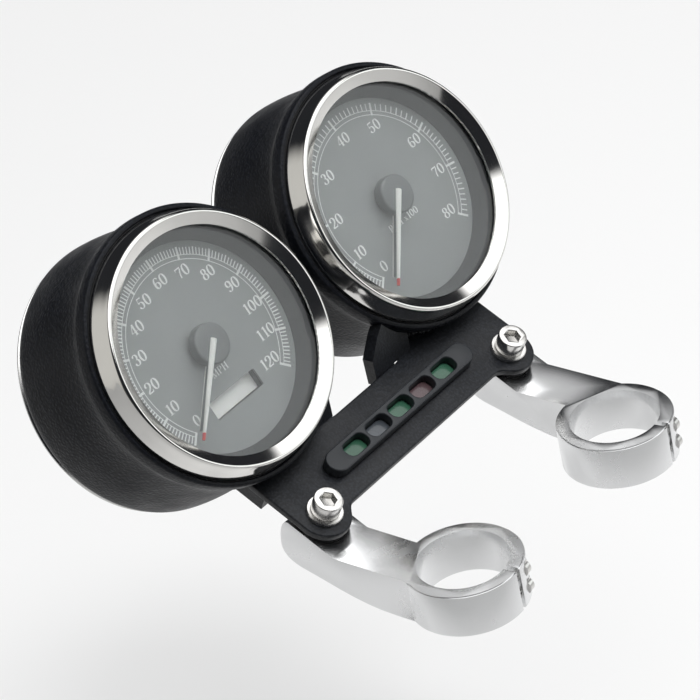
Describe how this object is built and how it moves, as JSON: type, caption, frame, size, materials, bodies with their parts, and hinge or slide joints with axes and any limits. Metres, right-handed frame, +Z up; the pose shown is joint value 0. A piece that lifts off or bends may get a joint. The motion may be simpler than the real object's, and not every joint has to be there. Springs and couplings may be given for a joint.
{
  "type": "motorcycle instrument cluster",
  "caption": "Twin-gauge motorcycle instrument cluster: speedometer and tachometer in black cups, a warning lamp strip and two polished clamp arms that grip the riser tubes.",
  "frame": {"origin": "centre of the left riser clamp's bore, at half the clamp ring's height", "axes": "+Z up along the riser tubes, +X to the rider's right towards the other clamp, +Y forward, away from the rider"},
  "size_m": [0.2001, 0.1709, 0.1264],
  "materials": {
    "polished_bezel": "polished stainless steel",
    "rubber": "moulded",
    "clear_glass": "clear mineral glass",
    "spacer_black": "matte",
    "dial_face": "satin printed face",
    "lcd_grey": "liquid crystal display",
    "pointer_white": "white, red tip",
    "cap_black": "satin",
    "steel": "stainless fasteners",
    "magnet": "sintered",
    "bobbin": "moulded",
    "copper": "enamelled copper wire",
    "circuit_board": "solder mask",
    "can_steel": "black painted",
    "wrinkle_black": "black wrinkle coat",
    "polished_cover": "polished",
    "black_plastic": "moulded",
    "button_rubber": "moulded boot",
    "lamp_diffuser": "diffuser",
    "brass": "contacts",
    "lamp_housing_black": "satin",
    "lens_green": "translucent, unlit",
    "lens_clear": "translucent, unlit",
    "lens_red": "translucent, unlit",
    "polished_alu": "polished billet"
  },
  "bodies": {
    "cluster": {"speedo_bezel": "polished_bezel", "speedo_gasket": "rubber", "speedo_lens": "clear_glass", "speedo_spacer": "spacer_black", "speedo_dial": "dial_face", "speedo_lcd": "lcd_grey", "speedo_movement": "bobbin", "speedo_coils": "copper", "speedo_board": "circuit_board", "speedo_can": "can_steel", "speedo_sleeve": "rubber", "speedo_cup": "wrinkle_black", "speedo_rear_cover": "polished_cover", "speedo_connector": "black_plastic", "trip_switch": "black_plastic", "tach_bezel": "polished_bezel", "tach_gasket": "rubber", "tach_lens": "clear_glass", "tach_spacer": "spacer_black", "tach_dial": "dial_face", "tach_movement": "bobbin", "tach_coils": "copper", "tach_board": "circuit_board", "tach_can": "can_steel", "tach_sleeve": "rubber", "tach_cup": "wrinkle_black", "tach_rear_cover": "polished_cover", "tach_connector": "black_plastic", "dial_lamps": "lamp_diffuser", "connector_pins": "brass", "can_studs": "steel", "can_nuts": "steel", "mounting_plate": "wrinkle_black", "gussets": "wrinkle_black", "weld_beads": "wrinkle_black", "lamp_housing": "lamp_housing_black", "lamp_lens_green": "lens_green", "lamp_lens_clear": "lens_clear", "lamp_lens_red": "lens_red", "lamp_board": "circuit_board", "lamp_leds": "lamp_diffuser", "lamp_cover": "wrinkle_black", "lamp_screws": "steel", "mount_screws": "steel", "mount_washers": "steel", "isolators": "rubber", "clamp_arm_left": "polished_alu", "clamp_arm_right": "polished_alu", "pinch_screws": "steel"},
    "speedo_needle": {"speedo_pointer": "pointer_white", "speedo_pointer_cap": "cap_black", "speedo_shaft": "steel", "speedo_rotor": "magnet"},
    "tach_needle": {"tach_pointer": "pointer_white", "tach_pointer_cap": "cap_black", "tach_shaft": "steel", "tach_rotor": "magnet"},
    "reset_button": {"trip_button": "button_rubber"}
  },
  "joints": [
    {"name": "speedo_sweep", "type": "hinge", "parent": "cluster", "child": "speedo_needle", "pos_m": [-0.00665, 0.0792, 0.08015], "axis": [0, 0.8625, -0.506], "range_deg": [0, 265.7]},
    {"name": "tach_sweep", "type": "hinge", "parent": "cluster", "child": "tach_needle", "pos_m": [0.09555, 0.0792, 0.08015], "axis": [0, 0.8625, -0.506], "range_deg": [0, 270]},
    {"name": "reset_press", "type": "slide", "parent": "cluster", "child": "reset_button", "axis": [0, -0.8625, 0.506], "range_m": [0, 0.0025], "stiffness_N_per_m": 400, "springref_m": -0.001}
  ]
}
